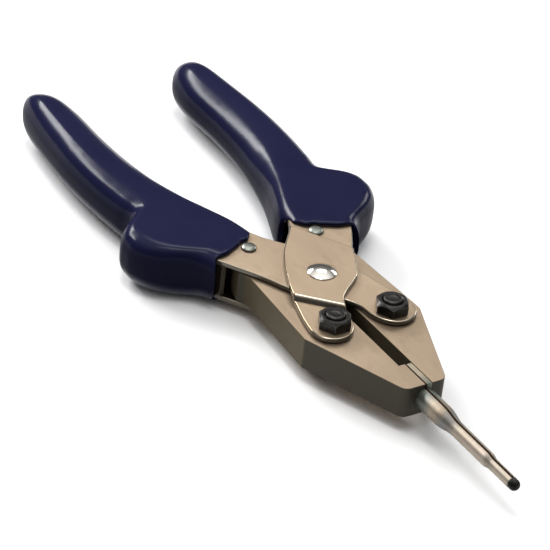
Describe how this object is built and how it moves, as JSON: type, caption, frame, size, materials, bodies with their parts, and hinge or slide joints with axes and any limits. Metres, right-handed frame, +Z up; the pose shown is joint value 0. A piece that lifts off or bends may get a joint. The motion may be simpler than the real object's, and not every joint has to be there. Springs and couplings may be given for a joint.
{
  "type": "parallel-action insertion pliers",
  "caption": "Parallel-action pliers with vinyl-dipped channel handles, crossed levers, thick parallel jaws and a long slender split round tip.",
  "frame": {"origin": "centre of the closed tool's box in plan, at the height of the lowest point, the dome of the lower pivot rivet", "axes": "+X along the tool towards the tips, +Y to the left jaw, +Z up through the pivot rivets and out of the nuts"},
  "size_m": [0.2036, 0.0764, 0.0183],
  "materials": {
    "plated_steel": "satin nickel-plated pressed steel",
    "tip_steel": "ground tool steel with heat tint at the brazed neck",
    "rivet_steel": "polished rivet head",
    "pin_steel": "dull turned pin",
    "black_oxide": "black oxide on turned and hexagonal steel",
    "bush_bronze": "sintered bronze",
    "grip_vinyl": "glossy navy dipped vinyl"
  },
  "bodies": {
    "inner_lever_body": {"inner_lever": "plated_steel", "inner_grip": "grip_vinyl", "inner_guide_pin": "pin_steel", "upper_pivot_rivet": "rivet_steel", "lower_pivot_rivet": "rivet_steel", "left_jaw_bolt": "black_oxide", "left_jaw_nut": "black_oxide", "left_jaw_bush": "bush_bronze"},
    "outer_lever_body": {"outer_lever": "plated_steel", "outer_grip": "grip_vinyl", "outer_guide_pin": "pin_steel", "right_jaw_bolt": "black_oxide", "right_jaw_nut": "black_oxide", "right_jaw_bush": "bush_bronze"},
    "left_jaw_body": {"left_jaw": "plated_steel", "left_tip": "tip_steel", "left_nose": "black_oxide"},
    "right_jaw_body": {"right_jaw": "plated_steel", "right_tip": "tip_steel", "right_nose": "black_oxide"}
  },
  "joints": [
    {"name": "lever_pivot", "type": "hinge", "parent": "inner_lever_body", "child": "outer_lever_body", "pos_m": [0.01324, 0, 0.0088], "axis": [0, 0, -1], "range_deg": [0, 26]},
    {"name": "left_jaw_pivot", "type": "hinge", "parent": "inner_lever_body", "child": "left_jaw_body", "pos_m": [0.03311, 0.00872, 0.0088], "axis": [0, 0, -1], "range_deg": [0, 13]},
    {"name": "right_jaw_pivot", "type": "hinge", "parent": "outer_lever_body", "child": "right_jaw_body", "pos_m": [0.03311, -0.00872, 0.0088], "axis": [0, 0, -1], "range_deg": [-13, 0]}
  ],
  "couplings": [
    {"joint": "left_jaw_pivot", "follows": "lever_pivot", "ratio": 0.5},
    {"joint": "right_jaw_pivot", "follows": "lever_pivot", "ratio": -0.5}
  ]
}
